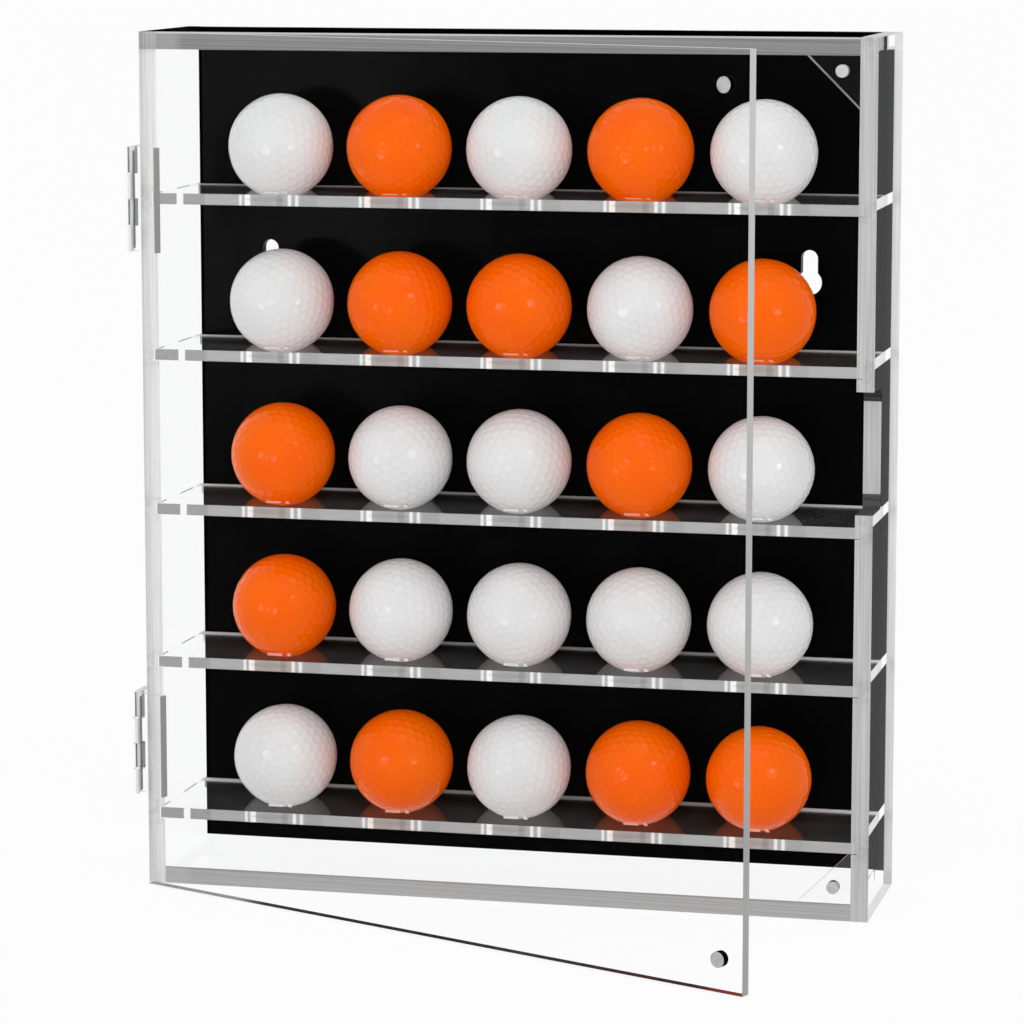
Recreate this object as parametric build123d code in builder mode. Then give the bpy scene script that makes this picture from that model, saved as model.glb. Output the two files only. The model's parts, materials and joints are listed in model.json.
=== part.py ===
from build123d import *
import os

# Golf ball display case: a clear acrylic case with a black back, five shelves of
# five balls each, and a clear door on two butt hinges, held shut by magnets.
# Millimetres. +X is right, +Y is back, +Z is up. The origin is the centre of the
# case's underside. The door is drawn as it stands in use, part open.

# ---- Driving dimensions ----

# Balls and the room around them
ball_diameter = 42.67
columns = 5
rows = 5
ball_gap = 7.0            # between neighbouring balls of one shelf
side_gap = 21.3           # from the outer balls to the side panels
edge_gap = 8.6            # from a ball to its shelf's front and rear edges
headroom = 19.6           # from a ball's top to the shelf above
top_headroom = 18.5       # from the top row of balls to the top panel
plinth_height = 20.1      # from the bottom panel to the lowest shelf
seat_diameter = 24.5      # round hole in the shelf that a ball rests on
seat_clearance = 0.2      # how far a ball stands above touching its seat

# Sheet thicknesses
wall = 7.0                # sides, top and bottom
shelf_thickness = 4.4
back_thickness = 5.0
door_thickness = 4.0
gusset_thickness = 5.0

# Shelves let into the sides
shelf_setback = 1.0       # shelf edge behind the front of the case
groove_depth = 2.1
groove_clearance = 0.05   # round the shelf's end in its groove

# Back let into the rear edges of the sides
back_rebate = 1.4

# Finger notch in the front edge of the right side
notch_shelf = 3           # the notch opens onto this shelf, counted from the lowest
notch_land = 5.1          # plain edge left above and below the notch
notch_depth = 19.6
notch_radius = 6.0

# Keyholes for hanging the case on two screws
keyhole_shelf = 4         # the keyholes are behind this shelf, counted from the lowest
keyhole_spacing = 226.0
keyhole_rise = 27.0       # from the shelf to the centre of the round entry
keyhole_entry = 10.2
keyhole_slot_width = 6.8
keyhole_slot_rise = 9.7   # from the round entry to the top of the slot's centreline

# Gussets in the right-hand corners, and the catch magnets
gusset_leg = 21.0
gusset_setback = 1.0      # gusset face behind the front of the case
magnet_side_inset = 7.3   # magnet centre from the right side's inner face
magnet_end_inset = 6.0    # magnet centre from the top or bottom panel's inner face
case_magnet_diameter = 5.0
case_magnet_length = 3.0
magnet_pocket_clearance = 0.05
door_magnet_diameter = 6.0
door_magnet_length = 3.0

# Door and hinges
door_angle = 23.9         # how far open the door stands, degrees
door_gap = 0.3            # between the shut door and the case
door_lift = 0.7           # door's lower edge above the case's underside
door_free_gap = 3.0       # from the door's free edge to the case's right face
door_hinge_gap = 0.5      # from the door's hinged edge to the leaf on the case
hinge_height = 42.0
hinge_end_drop = 66.6     # from the top of the case to the upper hinge's centre
hinge_end_rise = 59.5     # from the underside to the lower hinge's centre
knuckles = 4
knuckle_gap = 0.3
leaf_thickness = 3.6
leaf_reach = 13.6         # from the pin's axis to the leaf's far edge
leaf_clearance = 0.3      # between a leaf and the other leaf's knuckles
barrel_swell = 0.6        # how far the knuckles stand proud of the leaf's faces
knuckle_wall = 0.85
pin_clearance = 0.05
pin_recess = 1.5          # pin's ends below the ends of the barrel

# ---- Derived sizes and places ----

ball_radius = ball_diameter / 2
seat_radius = seat_diameter / 2
ball_rise = (ball_radius**2 - seat_radius**2) ** 0.5 + seat_clearance
column_pitch = ball_diameter + ball_gap
row_pitch = ball_rise + ball_radius + headroom + shelf_thickness

inner_width = (columns - 1) * column_pitch + ball_diameter + 2 * side_gap
case_width = inner_width + 2 * wall
shelf_depth = ball_diameter + 2 * edge_gap
case_depth = shelf_setback + shelf_depth + back_thickness
front = -case_depth / 2
rear = case_depth / 2
back_face = rear - back_thickness
ball_line = front + shelf_setback + shelf_depth / 2

lowest_shelf_top = wall + plinth_height + shelf_thickness
shelf_tops = [lowest_shelf_top + row * row_pitch for row in range(rows)]
ceiling = shelf_tops[-1] + ball_rise + ball_radius + top_headroom
case_height = ceiling + wall

shelf_width = inner_width + 2 * (groove_depth - groove_clearance)
groove_length = back_face - front
groove_height = shelf_thickness + 2 * groove_clearance
groove_centres = [((front + back_face) / 2, top - shelf_thickness / 2) for top in shelf_tops]

bay_height = row_pitch - shelf_thickness
notch_height = bay_height - 2 * notch_land
notch_centre = shelf_tops[notch_shelf - 1] + bay_height / 2
keyhole_height = shelf_tops[keyhole_shelf - 1] + keyhole_rise

barrel_radius = leaf_thickness / 2 + barrel_swell
pin_radius = barrel_radius - knuckle_wall - pin_clearance
knuckle_bore = pin_radius + pin_clearance
knuckle_pitch = hinge_height / knuckles
leaf_root = barrel_radius + leaf_clearance
pin_x = -case_width / 2 - leaf_thickness / 2
pin_y = front - door_gap - door_thickness - leaf_thickness / 2
hinge_centres = {"lower": hinge_end_rise, "upper": case_height - hinge_end_drop}

# Both frames have their origin on the pins' axis at the underside of the case.
# In the door's frame, x runs along the door to its free edge and y towards the case.
# In the case leaf's frame, x runs back along the case's left side.
door_frame = Plane((pin_x, pin_y, 0)).rotated((0, 0, -door_angle))
case_leaf_frame = Plane((pin_x, pin_y, 0), x_dir=(0, 1, 0), z_dir=(0, 0, 1))
door_near_edge = leaf_thickness / 2 + door_hinge_gap
door_far_edge = case_width / 2 - door_free_gap - pin_x
door_outer = leaf_thickness / 2
door_height = case_height - door_lift

magnet_x = inner_width / 2 - magnet_side_inset
magnet_heights = {"lower": wall + magnet_end_inset, "upper": ceiling - magnet_end_inset}
gusset_face = front + gusset_setback
magnet_seats = {
    level: Plane(
        door_frame.from_local_coords((magnet_x - pin_x, door_outer, magnet_height)),
        x_dir=door_frame.x_dir,
        z_dir=door_frame.y_dir,
    )
    for level, magnet_height in magnet_heights.items()
}

os.makedirs("parts", exist_ok=True)

# ---- Case ----

# Left side: a full-height sheet, grooved inside for the ends of the shelves and
# rebated along its rear edge for the back
with BuildPart() as left_side:
    with BuildSketch(Plane.YZ.offset(-case_width / 2)):
        Rectangle(case_depth, case_height, align=(Align.CENTER, Align.MIN))
    extrude(amount=wall)
    with BuildSketch(Plane.YZ.offset(-inner_width / 2)):
        with Locations(*groove_centres):
            Rectangle(groove_length, groove_height)
    extrude(amount=-groove_depth, mode=Mode.SUBTRACT)
    with BuildSketch(Plane.YZ.offset(-inner_width / 2)):
        with Locations((back_face, wall)):
            Rectangle(back_thickness, case_height - wall, align=Align.MIN)
    extrude(amount=-back_rebate, mode=Mode.SUBTRACT)
left_side.part.label = "left_side"
export_step(left_side.part, "parts/left_side.step")

# Right side: as the left, with a finger notch cut in its front edge
with BuildPart() as right_side:
    with BuildSketch(Plane.YZ.offset(inner_width / 2)):
        Rectangle(case_depth, case_height, align=(Align.CENTER, Align.MIN))
    extrude(amount=wall)
    with BuildSketch(Plane.YZ.offset(inner_width / 2)):
        with Locations(*groove_centres):
            Rectangle(groove_length, groove_height)
    extrude(amount=groove_depth, mode=Mode.SUBTRACT)
    with BuildSketch(Plane.YZ.offset(inner_width / 2)):
        with Locations((back_face, wall)):
            Rectangle(back_thickness, case_height - wall, align=Align.MIN)
    extrude(amount=back_rebate, mode=Mode.SUBTRACT)
    with BuildSketch(Plane.YZ.offset(inner_width / 2)) as notch:
        with Locations((front, notch_centre)):
            Rectangle(2 * notch_depth, notch_height)
        fillet(notch.vertices().group_by(Axis.Y)[-1], notch_radius)
    extrude(amount=wall, mode=Mode.SUBTRACT)
right_side.part.label = "right_side"
export_step(right_side.part, "parts/right_side.step")

# Top panel: between the sides, ending against the back
with BuildPart() as top_panel:
    with BuildSketch(Plane.XY.offset(ceiling)):
        with Locations((0, front)):
            Rectangle(inner_width, back_face - front, align=(Align.CENTER, Align.MIN))
    extrude(amount=wall)
top_panel.part.label = "top_panel"
export_step(top_panel.part, "parts/top_panel.step")

# Bottom panel: between the sides, over the full depth
with BuildPart() as bottom_panel:
    with BuildSketch(Plane.XY):
        Rectangle(inner_width, case_depth)
    extrude(amount=wall)
bottom_panel.part.label = "bottom_panel"
export_step(bottom_panel.part, "parts/bottom_panel.step")

# Back: a black sheet let into the sides, standing on the bottom panel, with two
# keyholes. Each is a round entry for the screw's head with a slot above it.
with BuildPart() as back_panel:
    with BuildSketch(Plane.XZ.offset(-back_face)):
        with Locations((0, wall)):
            Rectangle(
                inner_width + 2 * (back_rebate - groove_clearance),
                case_height - wall,
                align=(Align.CENTER, Align.MIN),
            )
        with Locations((0, keyhole_height)):
            with GridLocations(keyhole_spacing, 0, 2, 1):
                Circle(keyhole_entry / 2, mode=Mode.SUBTRACT)
                Rectangle(
                    keyhole_slot_width,
                    keyhole_slot_rise,
                    align=(Align.CENTER, Align.MIN),
                    mode=Mode.SUBTRACT,
                )
        with Locations((0, keyhole_height + keyhole_slot_rise)):
            with GridLocations(keyhole_spacing, 0, 2, 1):
                Circle(keyhole_slot_width / 2, mode=Mode.SUBTRACT)
    extrude(amount=-back_thickness)
back_panel.part.label = "back_panel"
export_step(back_panel.part, "parts/back_panel.step")

# Shelves, numbered from the lowest: each has a row of round ball seats
for number, shelf_top in enumerate(shelf_tops, start=1):
    with BuildPart() as shelf:
        with BuildSketch(Plane((0, ball_line, shelf_top))):
            Rectangle(shelf_width, shelf_depth)
            with GridLocations(column_pitch, 0, columns, 1):
                Circle(seat_radius, mode=Mode.SUBTRACT)
        extrude(amount=-shelf_thickness)
    shelf.part.label = f"shelf_{number}"
    export_step(shelf.part, f"parts/shelf_{number}.step")

# ---- Catch ----

# Gussets: triangles in the right-hand corners, each with a pocket for a magnet.
# The lower one's tip is cut off level under the lowest shelf.
gusset_corners = {"lower": (wall, 1, plinth_height), "upper": (ceiling, -1, bay_height)}
for level, (corner_height, upward, free_height) in gusset_corners.items():
    gusset_plane = Plane((inner_width / 2, gusset_face, corner_height), x_dir=(1, 0, 0), z_dir=(0, -1, 0))
    with BuildPart() as gusset:
        with BuildSketch(gusset_plane):
            with BuildLine():
                Polyline((0, 0), (-gusset_leg, 0), (0, upward * gusset_leg), close=True)
            make_face()
            Rectangle(2 * gusset_leg, 2 * free_height, mode=Mode.INTERSECT)
        extrude(amount=-gusset_thickness)
        with BuildSketch(gusset_plane):
            with Locations((-magnet_side_inset, upward * magnet_end_inset)):
                Circle(case_magnet_diameter / 2 + magnet_pocket_clearance)
        extrude(amount=-case_magnet_length, mode=Mode.SUBTRACT)
    gusset.part.label = f"{level}_gusset"
    export_step(gusset.part, f"parts/{level}_gusset.step")

# Magnets: one flush in each gusset, and one let into the door that meets it
for level, magnet_height in magnet_heights.items():
    with BuildPart() as case_magnet:
        with BuildSketch(Plane((magnet_x, gusset_face, magnet_height), x_dir=(1, 0, 0), z_dir=(0, -1, 0))):
            Circle(case_magnet_diameter / 2)
        extrude(amount=-case_magnet_length)
    case_magnet.part.label = f"{level}_case_magnet"
    export_step(case_magnet.part, f"parts/{level}_case_magnet.step")

    with BuildPart() as door_magnet:
        with BuildSketch(magnet_seats[level]):
            Circle(door_magnet_diameter / 2)
        extrude(amount=door_magnet_length)
    door_magnet.part.label = f"{level}_door_magnet"
    export_step(door_magnet.part, f"parts/{level}_door_magnet.step")

# ---- Door and hinges ----

# Door: one sheet over the whole front, with a pocket in its face for each magnet
with BuildPart() as door:
    with BuildSketch(door_frame.offset(door_lift)):
        with Locations((door_near_edge, door_outer)):
            Rectangle(door_far_edge - door_near_edge, door_thickness, align=Align.MIN)
    extrude(amount=door_height)
    with BuildSketch(*magnet_seats.values()):
        Circle(door_magnet_diameter / 2 + magnet_pocket_clearance)
    extrude(amount=door_magnet_length, mode=Mode.SUBTRACT)
door.part.label = "door"
export_step(door.part, "parts/door.step")

# Leaves: a flat plate joined to every second knuckle, counted from the lowest
leaf_kinds = {
    "case_leaf": (case_leaf_frame, range(0, knuckles, 2)),
    "door_leaf": (door_frame, range(1, knuckles, 2)),
}
for level, hinge_centre in hinge_centres.items():
    hinge_foot = hinge_centre - hinge_height / 2
    for kind, (leaf_frame, own_knuckles) in leaf_kinds.items():
        knuckle_feet = [hinge_foot + index * knuckle_pitch + knuckle_gap / 2 for index in own_knuckles]
        with BuildPart() as leaf:
            with BuildSketch(leaf_frame.offset(hinge_foot)):
                with Locations((leaf_root, 0)):
                    Rectangle(leaf_reach - leaf_root, leaf_thickness, align=(Align.MIN, Align.CENTER))
            extrude(amount=hinge_height)
            with BuildSketch(*[leaf_frame.offset(foot) for foot in knuckle_feet]):
                Circle(barrel_radius)
                Rectangle(leaf_root, leaf_thickness, align=(Align.MIN, Align.CENTER))
                Circle(knuckle_bore, mode=Mode.SUBTRACT)
            extrude(amount=knuckle_pitch - knuckle_gap)
        leaf.part.label = f"{level}_{kind}"
        export_step(leaf.part, f"parts/{level}_{kind}.step")

    with BuildPart() as hinge_pin:
        with BuildSketch(Plane((pin_x, pin_y, hinge_foot + pin_recess))):
            Circle(pin_radius)
        extrude(amount=hinge_height - 2 * pin_recess)
    hinge_pin.part.label = f"{level}_hinge_pin"
    export_step(hinge_pin.part, f"parts/{level}_hinge_pin.step")

# ---- Balls ----

# Numbered by row from the lowest and by column from the left
column_places = [(column - (columns - 1) / 2) * column_pitch for column in range(columns)]
for row, shelf_top in enumerate(shelf_tops, start=1):
    for column, ball_x in enumerate(column_places, start=1):
        with BuildPart(Plane((ball_x, ball_line, shelf_top + ball_rise))) as ball:
            Sphere(ball_radius)
        ball.part.label = f"ball_{row}_{column}"
        export_step(ball.part, f"parts/ball_{row}_{column}.step")
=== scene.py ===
"""Golf ball display case: clear sheets round a black back, twenty-five dimpled balls, an open clear door.

The clear sheets stay the frame's own solids, with a finish that lets light straight through their broad
faces and shows their cut edges. Each ball is a computed dimpled surface that stands for its plain solid.
"""

import json
import math

import bpy
import numpy as np
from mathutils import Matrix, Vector


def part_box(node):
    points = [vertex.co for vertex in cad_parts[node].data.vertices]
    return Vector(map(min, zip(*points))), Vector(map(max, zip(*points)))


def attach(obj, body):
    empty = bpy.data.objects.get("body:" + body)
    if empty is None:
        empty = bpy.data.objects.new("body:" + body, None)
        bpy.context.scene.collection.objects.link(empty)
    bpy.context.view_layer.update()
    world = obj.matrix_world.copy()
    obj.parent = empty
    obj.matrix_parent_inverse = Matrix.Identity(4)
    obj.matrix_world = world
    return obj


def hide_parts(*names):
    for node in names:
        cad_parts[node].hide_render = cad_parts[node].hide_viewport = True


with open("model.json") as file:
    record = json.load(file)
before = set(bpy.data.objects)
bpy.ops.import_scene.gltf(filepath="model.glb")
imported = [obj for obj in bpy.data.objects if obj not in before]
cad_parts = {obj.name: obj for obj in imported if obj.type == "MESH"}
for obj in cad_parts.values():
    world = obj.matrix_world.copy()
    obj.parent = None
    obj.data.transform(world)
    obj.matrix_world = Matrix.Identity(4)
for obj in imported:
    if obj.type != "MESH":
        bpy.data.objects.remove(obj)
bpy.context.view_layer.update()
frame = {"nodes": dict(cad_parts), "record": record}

MM = 0.001

# Camera, solved from the outlines of the balls and of the case
IMAGE_SIDE = 1024.0
SENSOR_WIDTH = 36.0
FOCAL_PIXELS = 4184.479
CAMERA_PLACE = (0.385962, -1.634460, 0.404925)
CAMERA_YAW = -0.233886
CAMERA_PITCH = -0.148180

# Case sizes that the finishes need, mm
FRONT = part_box("right_side")[0][1] / MM
CASE_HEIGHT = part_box("right_side")[1][2] / MM
INNER_HALF_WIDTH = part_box("right_side")[0][0] / MM
BACK_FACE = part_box("back_panel")[0][1] / MM
COLUMN_PITCH = (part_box("ball_1_2")[0][0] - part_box("ball_1_1")[0][0]) / MM
SHEET = CASE_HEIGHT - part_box("top_panel")[0][2] / MM
LOWEST_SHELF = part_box("shelf_1")[1][2] / MM
ROW_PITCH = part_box("shelf_2")[1][2] / MM - LOWEST_SHELF
NOTCH_LOW = 162.6
NOTCH_HIGH = 211.0
NOTCH_BACK = FRONT + 19.6
NOTCH_CORNER = 5.8
DOOR_ANGLE = math.radians(23.9)
DOOR_AXIS = (-math.sin(DOOR_ANGLE), -math.cos(DOOR_ANGLE), 0.0)
DOOR_ALONG = (math.cos(DOOR_ANGLE), -math.sin(DOOR_ANGLE), 0.0)

# The door's lower edge: its start at the hinge side, and how far along it is painted dark and then red, a
# painted reflection, mm
DOOR_START = (-150.775, -39.035)
DOOR_DARK_FROM = 56.0
DOOR_RED_FROM = 279.0

# Tone of the shelves' front edges on screen, 0 to 255, and a seat's bands of painted highlight and painted
# shade: middle, half width, tone
SHELF_FRONT_TONE = 175
SEAT_LIGHT_AND_SHADE_BANDS = (
    (-8.1, 0.6, 236),
    (-5.2, 1.2, 248),
    (1.2, 2.8, 172),
    (8.2, 1.3, 158),
    (12.3, 0.7, 240),
    (15.3, 0.7, 236),
    (20.5, 3.4, 166),
)

# Painted highlight bars that a seat's rim throws on its shelf, mm: from, to, slant, nearest and farthest from
# the front
SEAT_HIGHLIGHT_BARS = (
    (-3.75, 2.5, 0.26, -20.5, -13.8),
    (4.2, 5.8, 0.34, -20.5, -13.8),
)

# A shelf's rear edge as a painted highlight glowing forward over its top face: share, line and reach, mm,
# from the lowest shelf
REAR_PAINTED_HIGHLIGHTS = {
    1: (1.0, 21.8, 1.4),
    2: (1.0, 21.5, 1.7),
    3: (1.0, 21.8, 2.2),
    4: (0.75, 20.5, 3.0),
    5: (0.45, 19.5, 4.0),
}
REAR_HIGHLIGHT_WIDTH = 5.2

# Where a shelf's front edge stands before the white beside the back, so that painted shade darkens it beyond,
# and the gap in it, mm
SHELF_OVER_BLACK = -122.5
SHELF_FRONT_GAP = (-134.2, -131.4)

# A shelf's left end as it shows from within: two dark dashes along its top arris, from and to, mm
END_DASHES = ((-31.0, -20.0), (-1.0, 16.0))

# The right side's rear edge through the clear sheet, painted: dark as shade up to here, light beyond, mm
REAR_EDGE_DARK_TO = 145.6
BOTTOM_EDGE_LIGHT_FROM = 145.4
REBATE_STEP = INNER_HALF_WIDTH + 1.4

# Streak tones of the sides' front edges
LEFT_STRIP = (212, 236)
RIGHT_STRIP = (172, 202)

# Balls
BALL_RADIUS = 21.335
DIMPLE_STEPS = (6, 1)
DIMPLE_RADIUS = 2.2
DIMPLE_DEPTH = 0.26
BALL_GRID = 66
BALL_SKIN = 0.02

# Ball covers: darker and lighter paint, scuffs, and the lacquer's IOR
COVERS = {
    "ball_white": ("white_cover", (0.75, 0.75, 0.75), (0.81, 0.81, 0.815), (0.60, 0.59, 0.57), 1.3),
    "ball_orange": ("orange_cover", (1.0, 0.118, 0.0), (1.0, 0.145, 0.0), (0.85, 0.16, 0.02), 1.2),
}

# Studio
AMBIENT = 0.72
FLOOR_HALF = 20.0
FLOOR_DROP = 0.0003
FLOOR_SHADOW_SHARE = 0.07
LAMP_AIM = (0.0, 0.0, 0.17)

# Lamps: name, direction in the camera's right, up and backward axes, distance, size and radiance
LAMPS = (
    ("key_lamp", (0.45, 0.12, 0.88), 1.8, 0.22, 23.5),
    ("side_fill", (-0.61, -0.15, 0.77), 1.8, 0.5, 9.6),
    ("top_fill", (0.1, 0.8, 0.6), 1.9, 0.8, 1.6),
)


# ---------------------------------------------------------------- meshes


def put_mesh(name, points, faces):
    """A smooth-shaded object at the origin from arrays of points, in metres, and of four-sided faces."""
    mesh = bpy.data.meshes.new(name)
    mesh.vertices.add(len(points))
    mesh.vertices.foreach_set("co", np.ascontiguousarray(points, dtype=np.float32).ravel())
    mesh.loops.add(faces.size)
    mesh.loops.foreach_set("vertex_index", faces.astype(np.int32).ravel())
    mesh.polygons.add(len(faces))
    mesh.polygons.foreach_set("loop_start", np.arange(0, faces.size, 4, dtype=np.int32))
    mesh.polygons.foreach_set("use_smooth", np.ones(len(faces), dtype=bool))
    mesh.update(calc_edges=True)
    mesh.validate()
    made = bpy.data.objects.new(name, mesh)
    bpy.context.scene.collection.objects.link(made)
    return made


def dimple_centres(first, second):
    """Even points over a unit ball. A triangular lattice is laid on each of the 20 faces of an icosahedron,
    whose corners are the given numbers of steps apart along two lattice directions, and is pushed out to
    the ball."""
    golden = (1 + math.sqrt(5)) / 2
    corners = np.array(
        [
            [0, a, b * golden]
            for a in (-1, 1)
            for b in (-1, 1)
        ]
    )
    corners = np.vstack([np.roll(corners, turn, axis=1) for turn in range(3)])
    corners = corners / np.linalg.norm(corners, axis=1, keepdims=True)
    near = (corners @ corners.T) > 0.4
    span = 2 * (first + second)
    i, j = np.meshgrid(np.arange(-span, span + 1), np.arange(-span, span + 1))
    size = first * first + first * second + second * second
    s = (i * (first + second) + j * second) / size
    t = (j * first - i * second) / size
    inside = (s > -1e-9) & (t > -1e-9) & (s + t < 1 + 1e-9)
    s, t = s[inside][:, None], t[inside][:, None]
    found = []
    for a in range(12):
        for b in range(a + 1, 12):
            for c in range(b + 1, 12):
                if not (near[a, b] and near[b, c] and near[a, c]):
                    continue
                face = corners[[a, b, c]]
                if np.linalg.det(face) < 0:
                    face = corners[[a, c, b]]
                found.append((1 - s - t) * face[0] + s * face[1] + t * face[2])
    points = np.vstack(found)
    points = points / np.linalg.norm(points, axis=1, keepdims=True)
    _, first_of_each = np.unique(np.round(points, 6), axis=0, return_index=True)
    return points[first_of_each]


def ball_directions(cells):
    """A closed ball of unit directions: six square grids, one on each face of a cube, with the two
    parameters of each spread evenly by angle, and the shared points of neighbouring grids made one."""
    angle = np.linspace(-math.pi / 4, math.pi / 4, cells + 1)
    u, v = np.meshgrid(np.tan(angle), np.tan(angle), indexing="ij")
    one = np.ones_like(u)
    sides = [(one, u, v), (-one, v, u), (v, one, u), (u, -one, v), (u, v, one), (v, u, -one)]
    points = np.vstack([np.stack(side, axis=-1).reshape(-1, 3) for side in sides])
    points = points / np.linalg.norm(points, axis=1, keepdims=True)
    place = np.arange((cells + 1) ** 2).reshape(cells + 1, cells + 1)
    quads = np.stack([place[:-1, :-1], place[1:, :-1], place[1:, 1:], place[:-1, 1:]], axis=-1).reshape(-1, 4)
    faces = np.vstack([quads + side * place.size for side in range(6)])
    _, kept, merged = np.unique(np.round(points, 6), axis=0, return_index=True, return_inverse=True)
    return points[kept], merged.reshape(-1)[faces]


def dimpled_unit_ball():
    """Directions times a radius: the ball's own, less a dimple's depth, which falls off with the square of
    the distance to the nearest dimple centre, so that neighbours meet in crisp six-sided ridges."""
    points, faces = ball_directions(BALL_GRID)
    closest = (points @ dimple_centres(*DIMPLE_STEPS).T).max(axis=1)
    distance = np.arccos(np.clip(closest, -1, 1)) * BALL_RADIUS / DIMPLE_RADIUS
    hollow = np.clip(1 - distance**2, 0, 1)
    radius = BALL_RADIUS - BALL_SKIN - DIMPLE_DEPTH * hollow
    return points * radius[:, None], faces, hollow


def turned(points, turn):
    """The points turned by a unit quaternion made from four numbers."""
    w, x, y, z = turn / np.linalg.norm(turn)
    matrix = np.array(
        [
            [1 - 2 * (y * y + z * z), 2 * (x * y - z * w), 2 * (x * z + y * w)],
            [2 * (x * y + z * w), 1 - 2 * (x * x + z * z), 2 * (y * z - x * w)],
            [2 * (x * z - y * w), 2 * (y * z + x * w), 1 - 2 * (x * x + y * y)],
        ]
    )
    return points @ matrix.T


# ---------------------------------------------------------------- finishes


def light_share(tone):
    """The albedo that shows a given screen tone, 0 to 255, on an edge that faces the front."""
    level = tone / 255
    linear = ((level + 0.055) / 1.055) ** 2.4 if level > 0.04045 else level / 12.92
    return min(linear, 0.98)


def opaque(shade):
    """A grey or a colour with its alpha."""
    colour = shade if isinstance(shade, tuple) else (shade, shade, shade)
    return (*colour, 1.0)


class Bench:
    """Adds shader nodes to one tree and joins them."""

    def __init__(self, name):
        self.finish = bpy.data.materials.new(name)
        self.finish.use_nodes = True
        self.tree = self.finish.node_tree
        self.tree.nodes.clear()

    def add(self, kind, inputs=None, **settings):
        made = self.tree.nodes.new(kind)
        for name, value in settings.items():
            setattr(made, name, value)
        for name, value in (inputs or {}).items():
            if isinstance(value, bpy.types.NodeSocket):
                self.tree.links.new(value, made.inputs[name])
            else:
                made.inputs[name].default_value = value
        return made

    def maths(self, operation, a, b=0.0, c=0.0, clamp=False):
        return self.add("ShaderNodeMath", {0: a, 1: b, 2: c}, operation=operation, use_clamp=clamp).outputs[0]

    def product(self, *shares):
        result = shares[0]
        for share in shares[1:]:
            result = self.maths("MULTIPLY", result, share)
        return result

    def less(self, share):
        """One minus a share."""
        return self.maths("SUBTRACT", 1.0, share)

    def past(self, value, edge, soft=0.05):
        """0 below an edge and 1 above it, over a soft step."""
        return self.add(
            "ShaderNodeMapRange",
            {"Value": value, "From Min": edge - soft, "From Max": edge + soft},
            interpolation_type="SMOOTHSTEP",
        ).outputs["Result"]

    def within(self, value, low, high, soft=0.05):
        return self.product(self.past(value, low, soft), self.less(self.past(value, high, soft)))

    def place(self):
        """Object coordinates in millimetres."""
        metres = self.add("ShaderNodeTexCoord").outputs["Object"]
        scaled = self.add("ShaderNodeVectorMath", {0: metres, "Scale": 1 / MM}, operation="SCALE")
        return scaled.outputs[0]

    def along(self, vector, axis):
        """How far a vector goes along a fixed axis."""
        dot = self.add("ShaderNodeVectorMath", {0: vector, 1: axis}, operation="DOT_PRODUCT")
        return dot.outputs["Value"]

    def share_of_way(self, value, low, high):
        """How far a value has come from one place to another, 0 to 1."""
        way = self.add("ShaderNodeMapRange", {"Value": value, "From Min": low, "From Max": high})
        return way.outputs["Result"]

    def noise(self, vector, scale, detail=3.0, roughness=0.55):
        """Noise in cycles per millimetre."""
        return self.add(
            "ShaderNodeTexNoise",
            {"Vector": vector, "Scale": scale, "Detail": detail, "Roughness": roughness},
        ).outputs["Fac"]

    def stretched(self, vector, scales):
        return self.add("ShaderNodeVectorMath", {0: vector, 1: scales}, operation="MULTIPLY").outputs[0]

    def ramp(self, value, stops, interpolation="LINEAR"):
        """A colour ramp from (place, grey or colour) stops."""
        made = self.add("ShaderNodeValToRGB", {0: value})
        made.color_ramp.interpolation = interpolation
        bar = made.color_ramp.elements
        while len(bar) < len(stops):
            bar.new(0.5)
        for element, (place, colour) in zip(bar, stops):
            element.position = place
            element.color = opaque(colour)
        return made.outputs["Color"]

    def marks(self, value, low, high, plain, marks, soft=0.25):
        """Bands of tone across a plain one, from (middle, half width, tone) rows in rising order."""
        stops = [(0.0, light_share(plain))]
        for middle, half, tone in marks:
            outer = half + soft
            inner = half - soft
            for offset, level in ((-outer, plain), (-inner, tone), (inner, tone), (outer, plain)):
                stops.append(((middle + offset - low) / (high - low), light_share(level)))
        return self.ramp(self.share_of_way(value, low, high), stops)

    def tint(self, share, under, over, kind="MIX"):
        """One colour laid over another by a share."""
        made = self.add("ShaderNodeMix", {"Factor": share}, data_type="RGBA", blend_type=kind)
        for name, value in (("A", under), ("B", over)):
            socket = [found for found in made.inputs if found.name == name and found.type == "RGBA"][0]
            if isinstance(value, bpy.types.NodeSocket):
                self.tree.links.new(value, socket)
            else:
                socket.default_value = opaque(value)
        return [found for found in made.outputs if found.type == "RGBA"][0]

    def blend(self, share, under, over):
        return self.add("ShaderNodeMixShader", {0: share, 1: under, 2: over}).outputs[0]

    def bump(self, height, strength, distance):
        return self.add(
            "ShaderNodeBump", {"Height": height, "Strength": strength, "Distance": distance}
        ).outputs["Normal"]

    def done(self, surface):
        self.add("ShaderNodeOutputMaterial", {"Surface": surface})
        return self.finish


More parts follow.
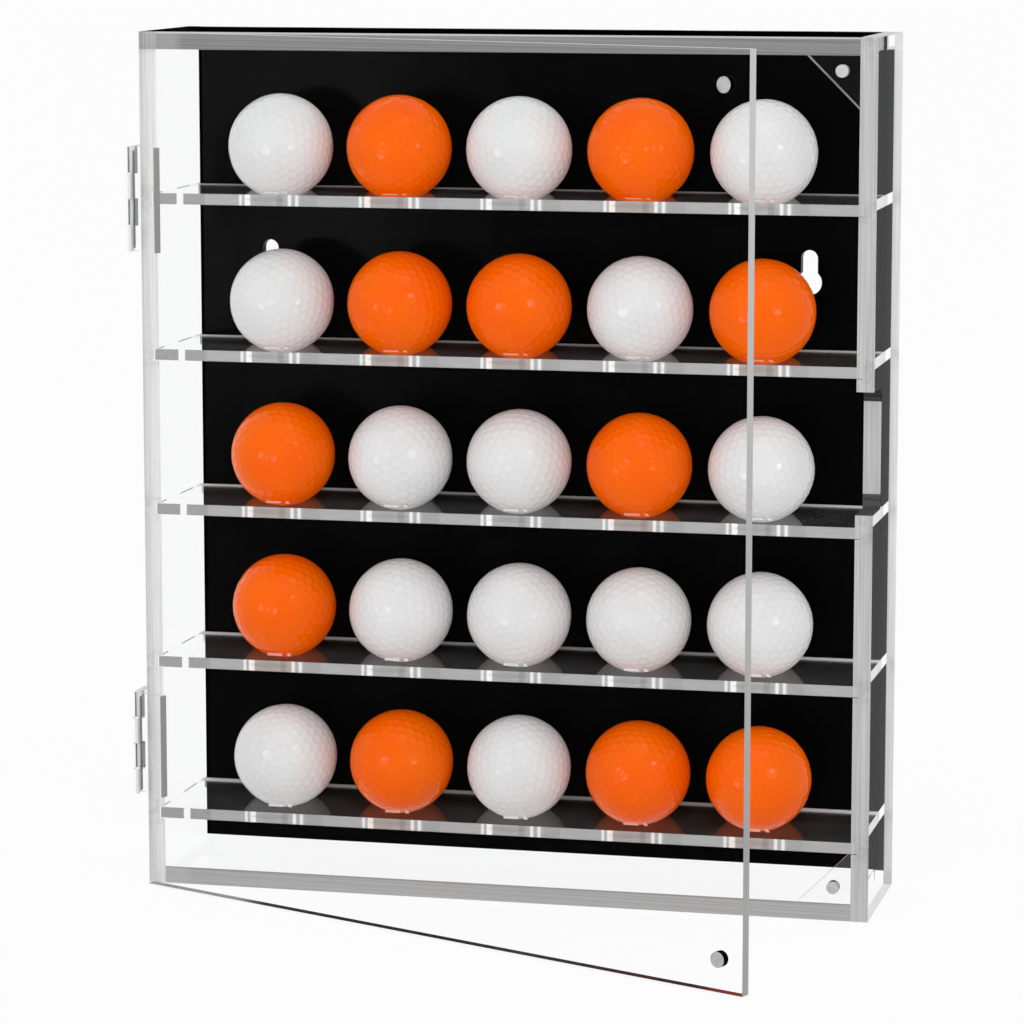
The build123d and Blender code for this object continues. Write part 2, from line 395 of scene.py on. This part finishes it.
class Sheet(Bench):
    """Cast acrylic sheet. The broad faces let light straight through but for a grazing reflection. The cut
    edges are told by the normal against the sheet's thin axis, and show from outside only."""

    def __init__(self, name, thin_axis, mirror, shine=0.0006):
        super().__init__(name)
        self.thin_axis = thin_axis
        self.point = self.place()
        self.x, self.y, self.z = self.add("ShaderNodeSeparateXYZ", {0: self.point}).outputs
        self.normal = self.add("ShaderNodeTexCoord").outputs["Normal"]
        self.inside = self.add("ShaderNodeNewGeometry").outputs["Backfacing"]
        self.outside = self.less(self.inside)
        self.grazing = self.add("ShaderNodeLayerWeight", {"Blend": 0.5}).outputs["Facing"]
        self.broad = self.facing(thin_axis)
        self.through = self.add("ShaderNodeBsdfTransparent", {"Color": (0.996, 0.997, 0.997, 1.0)}).outputs[0]
        smears = self.ramp(self.noise(self.point, 0.03, 4.0), [(0.35, 0.015), (0.75, 0.05)])
        glint = self.add(
            "ShaderNodeBsdfGlossy", {"Color": (0.95, 0.96, 0.96, 1.0), "Roughness": smears}
        ).outputs[0]
        gloss = self.maths("MULTIPLY_ADD", self.maths("POWER", self.grazing, 5.0), mirror, shine)
        self.face = self.blend(self.product(gloss, self.outside), self.through, glint)
        self.streaks = self.streaks_across(thin_axis)

    def streaks_across(self, axis):
        """Noise in fine streaks, packed along an axis and long the other ways."""
        packed = self.maths("MULTIPLY", self.along(self.point, axis), 1.6)
        fine = self.add("ShaderNodeCombineXYZ", {0: packed}).outputs[0]
        drift = self.stretched(self.point, (0.02, 0.02, 0.02))
        both = self.add("ShaderNodeVectorMath", {0: fine, 1: drift}, operation="ADD").outputs[0]
        return self.noise(both, 1.0, 4.0, 0.6)

    def facing(self, axis, least=0.9):
        """1 where the surface faces along an axis, either way."""
        return self.maths("GREATER_THAN", self.maths("ABSOLUTE", self.along(self.normal, axis)), least)

    def sawn(self, dark, light, streaks=None):
        """Fine streaks that run the length of a cut edge, between two screen tones."""
        return self.ramp(streaks or self.streaks, [(0.32, light_share(dark)), (0.68, light_share(light))])

    def most(self, *shares):
        """The largest of some shares."""
        result = shares[0]
        for share in shares[1:]:
            result = self.maths("MAXIMUM", result, share)
        return result

    def over_shelf(self, z):
        """Height over the nearest shelf's top."""
        return self.maths("WRAP", self.maths("SUBTRACT", z, LOWEST_SHELF), ROW_PITCH / 2, -ROW_PITCH / 2)

    def finished(self, tone, cover, top=None):
        """The broad faces and, where they show, the cut edges. Light doesn't get up through a top face that
        is seen nearly along it, so there it is painted as black as the back below it."""
        cut = self.add(
            "ShaderNodeBsdfPrincipled",
            {
                "Base Color": tone,
                "Roughness": self.ramp(self.streaks, [(0.3, 0.3), (0.7, 0.5)]),
                "Specular IOR Level": 0.15,
                "Normal": self.bump(self.streaks, 0.12, 0.0002),
            },
        ).outputs[0]
        edge = self.blend(cover, self.through, cut)
        surface = self.blend(self.broad, edge, self.face)
        if top:
            # Painted black over a top face seen nearly along it.
            painted_black = self.add("ShaderNodeBsdfTransparent", {"Color": (0.004, 0.004, 0.004, 1.0)}).outputs[0]
            share = self.product(top, self.outside, self.past(self.grazing, 0.92, 0.03))
            surface = self.blend(share, surface, painted_black)
        return self.done(surface)


def side_finish(name, strip, top_strip, end_tone):
    """A side: streaked edges, with painted shade in the finger notch's corners. The grooves' faces don't
    show.
    The shelves' ends show as painted flecks on the front edge, and a top strip of it has its own tones."""
    sheet = Sheet(name, (1.0, 0.0, 0.0), 0.14)
    level = sheet.facing((0.0, 0.0, 1.0))
    upright = sheet.facing((0.0, 1.0, 0.0))
    in_notch = sheet.product(
        sheet.within(sheet.z, NOTCH_LOW - 1, NOTCH_HIGH + 1),
        sheet.within(sheet.y, FRONT + 0.3, NOTCH_BACK + 0.5),
    )
    at_end = sheet.product(level, sheet.past(sheet.z, CASE_HEIGHT - 0.5))
    at_top = sheet.past(sheet.z, CASE_HEIGHT - SHEET, 0.3)
    tone = sheet.tint(at_top, sheet.sawn(*strip), sheet.sawn(*top_strip))
    by_shelf = sheet.within(sheet.over_shelf(sheet.z), -7.0, 3.0, 1.5)
    fleck = sheet.ramp(sheet.noise(sheet.point, 0.35, 3.0, 0.7), [(0.42, 0.78), (0.6, 1.06)])
    tone = sheet.tint(sheet.product(by_shelf, 0.6), tone, fleck, "MULTIPLY")
    # Painted shade in the finger notch's rounded corners: streaked dark tones, darker on its roof than on its
    # floor; the straight part of its back wall keeps the edge's tone.
    notch_shade_streaks = sheet.noise(sheet.stretched(sheet.point, (0.1, 0.9, 0.9)), 1.0, 4.0, 0.7)
    floor = sheet.ramp(notch_shade_streaks, [(0.3, light_share(28)), (0.7, light_share(98))])
    roof = sheet.ramp(notch_shade_streaks, [(0.4, light_share(5)), (0.7, light_share(70))])
    corner = sheet.tint(sheet.past(sheet.z, (NOTCH_LOW + NOTCH_HIGH) / 2), floor, roof)
    straight = sheet.within(sheet.z, NOTCH_LOW + NOTCH_CORNER, NOTCH_HIGH - NOTCH_CORNER, 0.2)
    lit = sheet.product(upright, straight)
    tone = sheet.tint(sheet.product(in_notch, sheet.less(lit)), tone, corner)
    tone = sheet.tint(at_end, tone, light_share(end_tone))
    grooves = sheet.product(level, sheet.within(sheet.z, 2.0, CASE_HEIGHT - 2), sheet.less(in_notch))
    cover = sheet.product(sheet.outside, sheet.less(grooves))
    return sheet, tone, cover, at_end


def left_side_finish():
    sheet, tone, cover, at_end = side_finish("left_side_sheet", LEFT_STRIP, (158, 192), 200)
    return sheet.finished(tone, cover, at_end)


def right_side_finish():
    """The right side also shows its rear and bottom edges through the sheet, painted: the rear one as a band
    of painted shade, as dark as the back, and a painted light one, light too in its top corner, and the
    shelves' ends carry on slanting over the dark one as gaps in it. The bottom edge is painted light seen
    from within. The inner face at the rebate's step is painted the same dark and light."""
    sheet, tone, cover, at_end = side_finish("right_side_sheet", RIGHT_STRIP, RIGHT_STRIP, 205)
    # Painted shade and light on the rear edge seen from within: as dark as the back up to REAR_EDGE_DARK_TO,
    # light beyond it and in the top corner.
    rear = sheet.product(sheet.inside, sheet.facing((0.0, 1.0, 0.0)), sheet.past(sheet.y, BACK_FACE - 0.3))
    light = sheet.past(sheet.x, REAR_EDGE_DARK_TO, 0.15)
    rise = sheet.maths("MULTIPLY_ADD", sheet.z, -1 / 242.0, 405.0 / 242.0)
    lift = sheet.product(sheet.maths("SUBTRACT", sheet.x, INNER_HALF_WIDTH + 2.0), rise)
    over_shelf = sheet.over_shelf(sheet.maths("SUBTRACT", sheet.z, lift))
    shelf = sheet.product(sheet.within(over_shelf, -4.4, 0.0, 0.2), sheet.less(light))
    corner = sheet.past(sheet.z, CASE_HEIGHT - SHEET, 0.3)
    through = sheet.tint(light, light_share(12), sheet.sawn(216, 240))
    tone = sheet.tint(rear, tone, sheet.tint(corner, through, light_share(238)))
    # Painted dark and light on the inner face at the rebate's step.
    above = sheet.past(sheet.z, SHEET - 1.4, 0.3)
    step = sheet.product(sheet.inside, sheet.within(sheet.x, REBATE_STEP - 0.2, REBATE_STEP + 0.2), above)
    shade = sheet.tint(corner, light_share(12), light_share(238))
    painted = sheet.add("ShaderNodeBsdfDiffuse", {"Color": shade}).outputs[0]
    sheet.face = sheet.blend(step, sheet.face, painted)
    rear = sheet.product(rear, sheet.most(light, above), sheet.less(shelf))
    # Painted light on the bottom edge seen from within.
    under = sheet.product(
        sheet.inside,
        sheet.facing((0.0, 0.0, 1.0)),
        sheet.less(sheet.past(sheet.z, 0.5)),
        sheet.past(sheet.x, BOTTOM_EDGE_LIGHT_FROM, 0.2),
    )
    tone = sheet.tint(under, tone, sheet.sawn(222, 240))
    return sheet.finished(tone, sheet.most(cover, rear, sheet.product(under, 0.5)))


def panel_finish(name, strip, arris_tone, end_tone, mirror, shine, black_top=False):
    """Top or bottom panel: its front edge has its own tone at the upper arris, a painted highlight on the top
    panel and painted shade on the bottom one, and its ends are light.
    """
    sheet = Sheet(name, (0.0, 0.0, 1.0), mirror, shine)
    low, high = (corner[2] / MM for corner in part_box(name))
    tone = sheet.sawn(*strip)
    # The upper arris's tone is painted: a highlight on the top panel, shade on the bottom one.
    tone = sheet.tint(sheet.past(sheet.z, high - 0.7, 0.25), tone, light_share(arris_tone))
    left_end = sheet.less(sheet.past(sheet.x, -INNER_HALF_WIDTH + 9.5, 3.0))
    tone = sheet.tint(sheet.product(left_end, 0.25), tone, light_share(205))
    tone = sheet.tint(sheet.facing((1.0, 0.0, 0.0)), tone, light_share(end_tone))
    top = sheet.product(sheet.broad, sheet.past(sheet.z, high - 0.2)) if black_top else None
    return sheet.finished(tone, sheet.outside, top)


def shelf_finish(level, colours):
    """A shelf. Along its front edge each ball seat shows as a group of painted light and dark bands,
    highlight and shade, tinted warmer by a painted reflection under an orange ball. On its top face the rear
    edge's glow and each seat rim's two short bars are painted highlights, over a faint painted sheen."""
    sheet = Sheet(f"shelf_{level}_sheet", (0.0, 0.0, 1.0), 0.5)
    half = COLUMN_PITCH / 2
    top = LOWEST_SHELF + (level - 1) * ROW_PITCH
    offset = sheet.maths("WRAP", sheet.x, half, -half)
    column = sheet.share_of_way(sheet.x, -5 * half, 5 * half)
    stops = [(place / 5, float(colour == "ball_orange")) for place, colour in enumerate(colours)]
    under_orange = sheet.ramp(column, stops, "CONSTANT")
    in_row = sheet.less(sheet.past(sheet.maths("ABSOLUTE", sheet.x), 5 * half - 1.5, 1.0))

    # front edge
    scratches = sheet.noise(sheet.stretched(sheet.point, (0.15, 0.15, 1.5)), 1.0)
    grain = sheet.ramp(scratches, [(0.3, 0.94), (0.7, 1.06)])
    # Painted highlights and painted shade: light and dark bands at each seat along the front edge.
    painted_seat_bands = sheet.marks(offset, -half, half, SHELF_FRONT_TONE, SEAT_LIGHT_AND_SHADE_BANDS)
    tone = sheet.tint(in_row, light_share(SHELF_FRONT_TONE), painted_seat_bands)
    # Painted reflection: the front edge tinted pink under an orange ball.
    painted_orange_reflection = sheet.product(under_orange, sheet.within(offset, -6.0, 12.5, 1.5))
    tone = sheet.tint(painted_orange_reflection, tone, (1.0, 0.88, 0.84), "MULTIPLY")
    # Painted shade: a darker oval patch at each seat, just under the top arris.
    side = sheet.maths("MULTIPLY_ADD", offset, 1 / 8.0, -2.5 / 8.0)
    drop = sheet.maths("SUBTRACT", sheet.z, top - 1.9)
    seat_shade_patch = sheet.maths("ADD", sheet.product(side, side), sheet.product(drop, drop))
    seat_shade_patch = sheet.product(sheet.less(sheet.past(seat_shade_patch, 1.0, 0.35)), in_row, 0.22)
    tone = sheet.tint(seat_shade_patch, tone, light_share(115))
    # Painted shade: the front edge a little darker where it stands before the white beside the back.
    beyond_back = sheet.less(sheet.past(sheet.x, SHELF_OVER_BLACK, 0.4))
    tone = sheet.tint(beyond_back, tone, light_share(SHELF_FRONT_TONE - 15))
    tone = sheet.tint(1.0, tone, grain, "MULTIPLY")
    in_side = sheet.past(sheet.x, INNER_HALF_WIDTH - 0.1, 0.1)
    tone = sheet.tint(in_side, tone, sheet.sawn(*RIGHT_STRIP, sheet.streaks_across((1.0, 0.0, 0.0))))
    far_out = sheet.past(sheet.maths("ABSOLUTE", sheet.x), INNER_HALF_WIDTH)
    ends = sheet.product(sheet.facing((1.0, 0.0, 0.0)), far_out)
    # Painted light and shade on the ends: near white seen from outside, grey seen from within.
    tone = sheet.tint(sheet.product(ends, sheet.outside), tone, 0.98)
    tone = sheet.tint(sheet.product(ends, sheet.inside), tone, light_share(120))
    dashes = sheet.most(*[sheet.within(sheet.y, start, end, 0.4) for start, end in END_DASHES])
    left_end = sheet.product(ends, sheet.inside, sheet.less(sheet.past(sheet.x, 0.0)), dashes)
    left_end = sheet.product(left_end, sheet.past(sheet.z, top - 0.5, 0.05), 0.9)
    gap = sheet.within(sheet.x, *SHELF_FRONT_GAP, 0.3)
    middle = sheet.product(
        sheet.past(sheet.y, FRONT + 3), sheet.less(sheet.past(sheet.y, BACK_FACE - 3)), sheet.less(ends)
    )
    cover = sheet.product(sheet.outside, sheet.less(gap), sheet.less(middle))
    cover = sheet.most(cover, left_end)

    # top face
    # Painted highlights over the top face, the rear edge's glow and the seat rims' bars, with a faint painted
    # sheen, all shown along grazing lines of sight only.
    share, line, reach = REAR_PAINTED_HIGHLIGHTS[level]
    rear_highlight = sheet.maths("EXPONENT", sheet.maths("MULTIPLY_ADD", sheet.y, 1 / reach, -line / reach))
    beyond_line = sheet.past(sheet.y, line + REAR_HIGHLIGHT_WIDTH, 0.6)
    rear_highlight = sheet.product(sheet.maths("MINIMUM", rear_highlight, 1.0), sheet.less(beyond_line), share)
    # Painted highlight bars at each seat's rim.
    lean = sheet.maths("ADD", sheet.y, 14.0)
    highlight_bars = []
    for low, high, slant, near, far in SEAT_HIGHLIGHT_BARS:
        moved = sheet.maths("MULTIPLY_ADD", lean, slant, offset)
        highlight_bars.append(sheet.product(sheet.within(moved, low, high, 0.2), sheet.within(sheet.y, near, far, 0.3)))
    bar = sheet.product(sheet.most(*highlight_bars), in_row, 0.97)
    edge_on = sheet.past(sheet.grazing, 0.66, 0.08)
    drift = sheet.ramp(sheet.noise(sheet.point, 0.09, 4.0), [(0.3, 0.018), (0.7, 0.034)])
    cover_top = sheet.most(sheet.maths("ADD", drift, rear_highlight), bar)
    cover_top = sheet.product(cover_top, edge_on, sheet.outside)
    # Painted reflection: the highlight bars tinted pink under an orange ball.
    scatter = sheet.add(
        "ShaderNodeBsdfDiffuse",
        {"Color": sheet.tint(sheet.product(under_orange, bar), 0.97, (0.97, 0.70, 0.58))},
    ).outputs[0]
    sheet.face = sheet.blend(cover_top, sheet.face, scatter)
    return sheet.finished(tone, cover)


def door_finish():
    """The door: its free end is lighter towards the top, and its lower edge shows through the sheet with a
    painted reflection, dark and then red.
    """
    sheet = Sheet("door_sheet", DOOR_AXIS, 0.25)
    tone = sheet.sawn(158, 180)
    tone = sheet.tint(sheet.share_of_way(sheet.z, 60.0, 330.0), tone, light_share(205))
    start = DOOR_START[0] * DOOR_ALONG[0] + DOOR_START[1] * DOOR_ALONG[1]
    run = sheet.maths("SUBTRACT", sheet.along(sheet.point, DOOR_ALONG), start)
    level = sheet.facing((0.0, 0.0, 1.0))
    lower = sheet.product(level, sheet.less(sheet.past(sheet.z, 5.0)))
    # Painted reflection on the lower edge seen from within: dark, then red.
    dark = sheet.tint(sheet.past(run, DOOR_DARK_FROM, 8.0), light_share(165), light_share(34))
    dark = sheet.tint(sheet.past(run, DOOR_RED_FROM, 4.0), dark, (0.22, 0.032, 0.02))
    tone = sheet.tint(lower, tone, dark)
    tone = sheet.tint(sheet.product(level, sheet.past(sheet.z, 300.0)), tone, light_share(215))
    return sheet.finished(tone, sheet.most(sheet.outside, lower))


def gusset_finish(name, haze):
    """A corner gusset: a faint haze over its broad faces, and its sloping edge shown from both sides."""
    sheet = Sheet(name, (0.0, 1.0, 0.0), 0.3)
    share = sheet.ramp(sheet.noise(sheet.point, 0.08, 4.0), [(0.3, haze * 0.85), (0.7, haze * 1.15)])
    scatter = sheet.add("ShaderNodeBsdfDiffuse", {"Color": (0.98, 0.98, 0.98, 1.0)}).outputs[0]
    sheet.face = sheet.blend(share, sheet.face, scatter)
    slope = sheet.most(sheet.facing((0.7, 0.0, 0.7)), sheet.facing((0.7, 0.0, -0.7)))
    cover = sheet.most(sheet.product(slope, 0.45), sheet.product(sheet.outside, 0.6))
    return sheet.finished(sheet.sawn(200, 228), cover)


def black_sheet_finish():
    """Black acrylic with a few faint wiping marks and dust."""
    bench = Bench("black_sheet")
    place = bench.place()
    wiping = bench.noise(bench.stretched(place, (0.03, 0.2, 0.008)), 1.0, 4.0)
    dust = bench.ramp(bench.noise(place, 1.1, 2.0), [(0.70, 0.0022), (0.80, 0.004)])
    return bench.done(
        bench.add(
            "ShaderNodeBsdfPrincipled",
            {
                "Base Color": dust,
                "Roughness": bench.ramp(wiping, [(0.3, 0.08), (0.7, 0.2)]),
                "IOR": 1.05,
                "Normal": bench.bump(wiping, 0.02, 0.0005),
            },
        ).outputs[0]
    )


def hinge_leaf_finish(name, plate_axis, end_axis, rim_tone, light_to=None):
    """Clear moulded acrylic leaf: nearly clear, toned where a round surface turns away and on its free end,
    which may be light up to a given place across."""
    sheet = Sheet(name, plate_axis, 0.1)
    flow = sheet.noise(sheet.stretched(sheet.point, (0.25, 0.25, 0.06)), 1.0, 3.0)
    end = sheet.facing(end_axis, 0.95)
    level = sheet.facing((0.0, 0.0, 1.0))
    tone = sheet.ramp(flow, [(0.3, light_share(rim_tone - 9)), (0.7, light_share(rim_tone + 9))])
    end_tone = light_share(158)
    if light_to is not None:
        end_tone = sheet.tint(sheet.past(sheet.x, light_to, 0.25), light_share(228), light_share(160))
    tone = sheet.tint(end, tone, end_tone)
    rim = sheet.ramp(sheet.grazing, [(0.6, 0.02), (0.85, 0.12), (1.0, 0.5)])
    cover = sheet.most(rim, end, sheet.product(level, 0.5))
    return sheet.finished(tone, sheet.product(cover, sheet.outside))


def hinge_pin_finish():
    """Clear pin in a clear barrel: nearly clear, with one dark line of painted shade down its right front."""
    bench = Bench("clear_pin")
    normal = bench.add("ShaderNodeTexCoord").outputs["Normal"]
    outside = bench.less(bench.add("ShaderNodeNewGeometry").outputs["Backfacing"])
    turn = bench.along(normal, (0.9, -0.43, 0.0))
    flow = bench.noise(bench.stretched(bench.place(), (0.4, 0.4, 0.09)), 1.0, 3.0)
    through = bench.add("ShaderNodeBsdfTransparent", {"Color": (0.996, 0.997, 0.997, 1.0)}).outputs[0]
    line = bench.add(
        "ShaderNodeBsdfPrincipled",
        {
            "Base Color": bench.ramp(flow, [(0.3, light_share(112)), (0.7, light_share(165))]),
            "Roughness": bench.ramp(flow, [(0.3, 0.2), (0.7, 0.35)]),
        },
    ).outputs[0]
    # Painted shade: a dark line where the surface turns to the right front.
    share = bench.product(bench.ramp(turn, [(0.8, 0.0), (0.9, 0.8)]), outside)
    return bench.done(bench.blend(share, through, line))


def magnet_finish(name, axis, face, side):
    """Nickel plate over a sintered magnet: its round side painted dark as shade, its face faintly pitted and
    patchy.
    """
    bench = Bench(name)
    place = bench.place()
    wear = bench.noise(place, 0.7, 4.0)
    pits = bench.noise(place, 5.0, 2.0)
    normal = bench.add("ShaderNodeTexCoord").outputs["Normal"]
    # Painted shade: the round side takes the darker side colour.
    flat = bench.maths("GREATER_THAN", bench.maths("ABSOLUTE", bench.along(normal, axis)), 0.9)
    plated = bench.ramp(wear, [(0.3, face * 0.9), (0.7, face * 1.1)])
    return bench.done(
        bench.add(
            "ShaderNodeBsdfPrincipled",
            {
                "Base Color": bench.tint(flat, side, plated),
                "Metallic": 1.0,
                "Roughness": bench.ramp(wear, [(0.3, 0.25), (0.7, 0.45)]),
                "Normal": bench.bump(pits, 0.2, 0.0001),
            },
        ).outputs[0]
    )


def ball_finish(name, dark, light, scuff, ior):
    """Painted and lacquered ball cover, with a slow drift of tone and faint scuffs. The ridges between the
    dimples are a little darker, painted shade told by the mesh's own attribute."""
    bench = Bench(name)
    place = bench.place()
    drift = bench.noise(place, 0.05, 3.0)
    scuffs = bench.noise(bench.stretched(place, (0.9, 0.9, 0.35)), 1.0, 5.0, 0.7)
    tone = bench.ramp(drift, [(0.3, dark), (0.7, light)])
    marked = bench.tint(bench.ramp(scuffs, [(0.66, 0.0), (0.78, 0.2)]), tone, scuff)
    # Painted shade: the ridges between the dimples a little darker.
    hollow = bench.add("ShaderNodeAttribute", attribute_name="hollow").outputs["Fac"]
    marked = bench.tint(1.0, marked, bench.ramp(hollow, [(0.0, 0.95), (0.5, 1.0)]), "MULTIPLY")
    return bench.done(
        bench.add(
            "ShaderNodeBsdfPrincipled",
            {
                "Base Color": marked,
                "Roughness": bench.ramp(scuffs, [(0.3, 0.1), (0.75, 0.24)]),
                "IOR": ior,
                "Normal": bench.bump(scuffs, 0.03, 0.0002),
            },
        ).outputs[0]
    )


def dress(node, finish):
    """Gives a CAD node's own object a better finish, slot by slot."""
    mesh = frame["nodes"][node].data
    if not mesh.materials:
        mesh.materials.append(finish)
    for slot in range(len(mesh.materials)):
        mesh.materials[slot] = finish


# ---------------------------------------------------------------- stage, lamps and camera


def background_share(tree):
    """1 for rays that see the background: from the camera, in a gloss or through something clear."""
    path = tree.nodes.new("ShaderNodeLightPath")
    share = path.outputs["Is Camera Ray"]
    for name in ("Is Glossy Ray", "Is Transmission Ray"):
        larger = tree.nodes.new("ShaderNodeMath")
        larger.operation = "MAXIMUM"
        tree.links.new(share, larger.inputs[0])
        tree.links.new(path.outputs[name], larger.inputs[1])
        share = larger.outputs[0]
    return share


def make_world():
    world = bpy.data.worlds.new("studio")
    world.use_nodes = True
    tree = world.node_tree
    tree.nodes.clear()
    soft = tree.nodes.new("ShaderNodeBackground")
    soft.inputs["Color"].default_value = (1.0, 1.0, 1.0, 1.0)
    soft.inputs["Strength"].default_value = AMBIENT
    white = tree.nodes.new("ShaderNodeBackground")
    white.inputs["Color"].default_value = (1.0, 1.0, 1.0, 1.0)
    white.inputs["Strength"].default_value = 1.0
    mix = tree.nodes.new("ShaderNodeMixShader")
    tree.links.new(background_share(tree), mix.inputs[0])
    tree.links.new(soft.outputs[0], mix.inputs[1])
    tree.links.new(white.outputs[0], mix.inputs[2])
    out = tree.nodes.new("ShaderNodeOutputWorld")
    tree.links.new(mix.outputs[0], out.inputs["Surface"])
    bpy.context.scene.world = world


def make_floor():
    """A plain pale floor that shows white to the camera and keeps a faint shadow."""
    corners = np.array([[-1, -1, 0], [1, -1, 0], [1, 1, 0], [-1, 1, 0]]) * FLOOR_HALF
    corners[:, 2] = -FLOOR_DROP
    floor = put_mesh("studio_floor", corners, np.array([[0, 1, 2, 3]]))
    bench = Bench("pale_floor")
    paper = bench.add("ShaderNodeBsdfDiffuse", {"Color": (0.86, 0.86, 0.86, 1.0)}).outputs[0]
    white = bench.add("ShaderNodeEmission", {"Color": (1.0, 1.0, 1.0, 1.0), "Strength": 1.0}).outputs[0]
    seen = bench.blend(FLOOR_SHADOW_SHARE, white, paper)
    floor.data.materials.append(bench.done(bench.blend(background_share(bench.tree), paper, seen)))


def camera_axes():
    ahead = np.array(
        [
            math.sin(CAMERA_YAW) * math.cos(CAMERA_PITCH),
            math.cos(CAMERA_YAW) * math.cos(CAMERA_PITCH),
            math.sin(CAMERA_PITCH),
        ]
    )
    right = np.array([math.cos(CAMERA_YAW), -math.sin(CAMERA_YAW), 0.0])
    return right, np.cross(right, ahead), ahead


def softbox(name, direction, distance, size, radiance):
    """A square lamp that faces the case."""
    right, up, ahead = camera_axes()
    way = direction[0] * right + direction[1] * up - direction[2] * ahead
    way = way / np.linalg.norm(way)
    lamp = bpy.data.lights.new(name, "AREA")
    lamp.shape = "SQUARE"
    lamp.size = size
    lamp.energy = radiance * math.pi * size * size
    made = bpy.data.objects.new(name, lamp)
    made.location = np.array(LAMP_AIM) + way * distance
    made.rotation_mode = "QUATERNION"
    made.rotation_quaternion = Vector(way).to_track_quat("Z", "Y")
    made.visible_camera = False
    bpy.context.scene.collection.objects.link(made)


def make_lamps():
    for row in LAMPS:
        softbox(*row)


def make_camera():
    data = bpy.data.cameras.new("camera")
    data.sensor_width = SENSOR_WIDTH
    data.lens = FOCAL_PIXELS / IMAGE_SIDE * SENSOR_WIDTH
    data.clip_start = 0.05
    data.clip_end = 100.0
    camera = bpy.data.objects.new("camera", data)
    camera.location = CAMERA_PLACE
    camera.rotation_euler = (math.pi / 2 + CAMERA_PITCH, 0.0, -CAMERA_YAW)
    bpy.context.scene.collection.objects.link(camera)
    bpy.context.scene.camera = camera


# ---------------------------------------------------------------- making the case


slots = {row["node"]: row["material_slot"] for row in frame["record"]["subparts"]}


def make_balls():
    """Twenty-five dimpled balls, each on its own body and turned its own way."""
    points, faces, hollow = dimpled_unit_ball()
    covers = {slot: ball_finish(*cover) for slot, cover in COVERS.items()}
    turns = np.random.default_rng(18)
    for row in range(1, 6):
        for column in range(1, 6):
            node = f"ball_{row}_{column}"
            low, high = (np.array(corner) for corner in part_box(node))
            placed = turned(points, turns.normal(size=4)) * MM + (low + high) / 2
            ball = put_mesh(f"dimpled_{node}", placed, faces)
            shares = ball.data.attributes.new("hollow", "FLOAT", "POINT")
            shares.data.foreach_set("value", hollow.astype(np.float32))
            ball.data.materials.append(covers[slots[node]])
            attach(ball, node)
            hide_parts(node)


def dress_case():
    dress("left_side", left_side_finish())
    dress("right_side", right_side_finish())
    dress("top_panel", panel_finish("top_panel", (120, 142), 196, 238, 0.0, 0.0, black_top=True))
    dress("bottom_panel", panel_finish("bottom_panel", (160, 186), 150, 225, 0.1, 0.0006))
    for level in range(1, 6):
        colours = [slots[f"ball_{level}_{column}"] for column in range(1, 6)]
        dress(f"shelf_{level}", shelf_finish(level, colours))
    dress("door", door_finish())
    dress("upper_gusset", gusset_finish("upper_gusset_sheet", 0.003))
    dress("lower_gusset", gusset_finish("lower_gusset_sheet", 0.03))
    dress("back_panel", black_sheet_finish())
    case_leaf = hinge_leaf_finish("case_leaf_moulding", (1.0, 0.0, 0.0), (0.0, 1.0, 0.0), 150, -150.3)
    door_leaf = hinge_leaf_finish("door_leaf_moulding", DOOR_AXIS, DOOR_ALONG, 228)
    pin = hinge_pin_finish()
    case_magnet = magnet_finish("case_magnet_nickel", (0.0, 1.0, 0.0), 0.45, 0.25)
    door_magnet = magnet_finish("door_magnet_nickel", DOOR_AXIS, 0.42, 0.02)
    for end in ("upper", "lower"):
        dress(f"{end}_case_leaf", case_leaf)
        dress(f"{end}_door_leaf", door_leaf)
        dress(f"{end}_hinge_pin", pin)
        dress(f"{end}_case_magnet", case_magnet)
        dress(f"{end}_door_magnet", door_magnet)


scene = bpy.context.scene
scene.view_settings.view_transform = "Standard"
scene.cycles.transparent_max_bounces = 40
make_world()
make_floor()
make_lamps()
make_camera()
dress_case()
make_balls()
